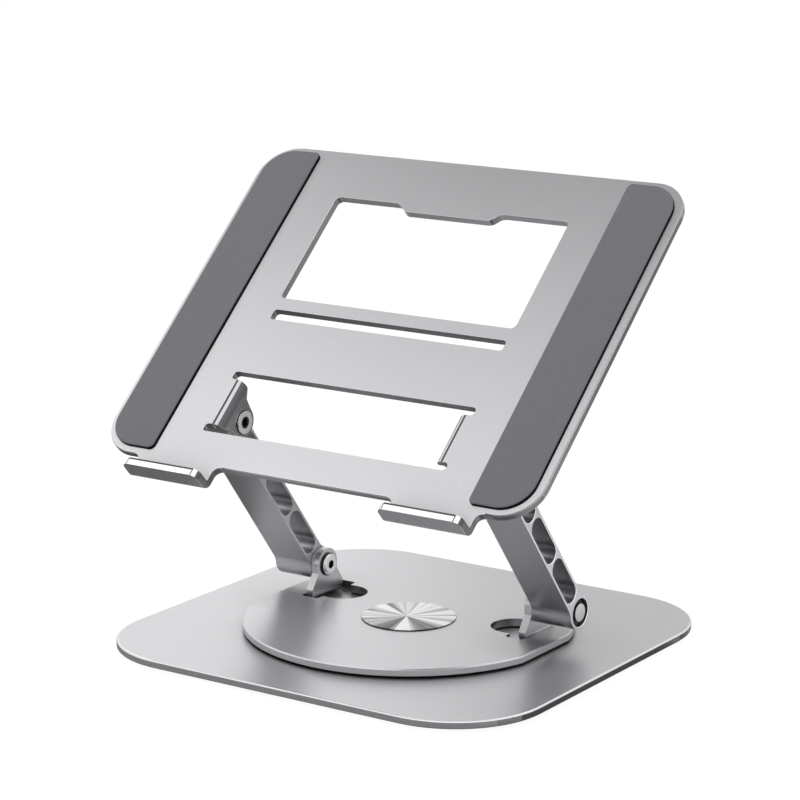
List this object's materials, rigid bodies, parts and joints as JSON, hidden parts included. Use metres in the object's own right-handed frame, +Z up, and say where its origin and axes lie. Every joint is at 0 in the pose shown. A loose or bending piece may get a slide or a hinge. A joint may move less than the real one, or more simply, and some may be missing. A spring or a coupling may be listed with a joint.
{
  "type": "laptop stand",
  "caption": "Folding laptop stand: a tilting sheet-metal tray with front lips and soft pads on two hinged arms, over a disc that turns on a flat base.",
  "frame": {"origin": "under the middle of the base plate, at the surface the feet stand on; the turning axis is 2 mm behind it", "axes": "+Z up, +Y away from the user and up the tray's slope, +X to the user's right along the hinge lines"},
  "size_m": [0.252, 0.229, 0.2328],
  "materials": {
    "anodised_sheet": "fine blasted and silver anodised",
    "anodised_bar": "fine blasted and silver anodised, machined cells",
    "spun_cap": "spun, radial sheen",
    "steel": "zinc plated",
    "bolt_steel": "turned, nickel plated",
    "black_oxide": "black oxide",
    "grey_silicone": "matte silicone",
    "black_rubber": "matte rubber",
    "white_plastic": "acetal, natural"
  },
  "bodies": {
    "base": {"base_plate": "anodised_sheet", "corner_feet": "black_rubber", "spindle_hub": "steel", "thrust_washer": "white_plastic", "retainer_plate": "steel", "retainer_screws": "steel"},
    "turntable": {"turntable_disc": "anodised_sheet", "slip_washer": "white_plastic", "centre_cap": "spun_cap", "lower_bolt_left": "bolt_steel", "lower_bolt_right": "bolt_steel", "lower_head_washers": "black_oxide", "lower_spring_washers": "black_oxide", "lower_lock_nuts": "bolt_steel"},
    "arms": {"arm_left": "anodised_bar", "arm_right": "anodised_bar", "lower_hinge_bushes": "white_plastic", "upper_hinge_bushes": "white_plastic", "lower_friction_washers": "white_plastic", "upper_friction_washers": "white_plastic"},
    "upper_hinge": {"upper_bolt_left": "bolt_steel", "upper_bolt_right": "bolt_steel", "upper_head_washers": "black_oxide", "upper_spring_washers": "black_oxide", "upper_lock_nuts": "bolt_steel"},
    "tray": {"tray_plate": "anodised_sheet", "pad_left": "grey_silicone", "pad_right": "grey_silicone"}
  },
  "joints": [
    {"name": "turntable_spin", "type": "hinge", "parent": "base", "child": "turntable", "pos_m": [0, 0.002, 0.008], "axis": [0, 0, 1], "continuous": true},
    {"name": "arm_fold", "type": "hinge", "parent": "turntable", "child": "arms", "pos_m": [0, 0.0194, 0.0236], "axis": [-1, 0, 0], "range_deg": [-51.9, 42]},
    {"name": "hinge_level", "type": "hinge", "parent": "arms", "child": "upper_hinge", "pos_m": [0, -0.05094, 0.11331], "axis": [-1, 0, 0], "range_deg": [-42.5, 52.5]},
    {"name": "tray_tilt", "type": "hinge", "parent": "upper_hinge", "child": "tray", "pos_m": [0, -0.05094, 0.11331], "axis": [1, 0, 0], "range_deg": [-41.8, 13]}
  ],
  "couplings": [
    {"joint": "hinge_level", "follows": "arm_fold", "ratio": -1}
  ]
}
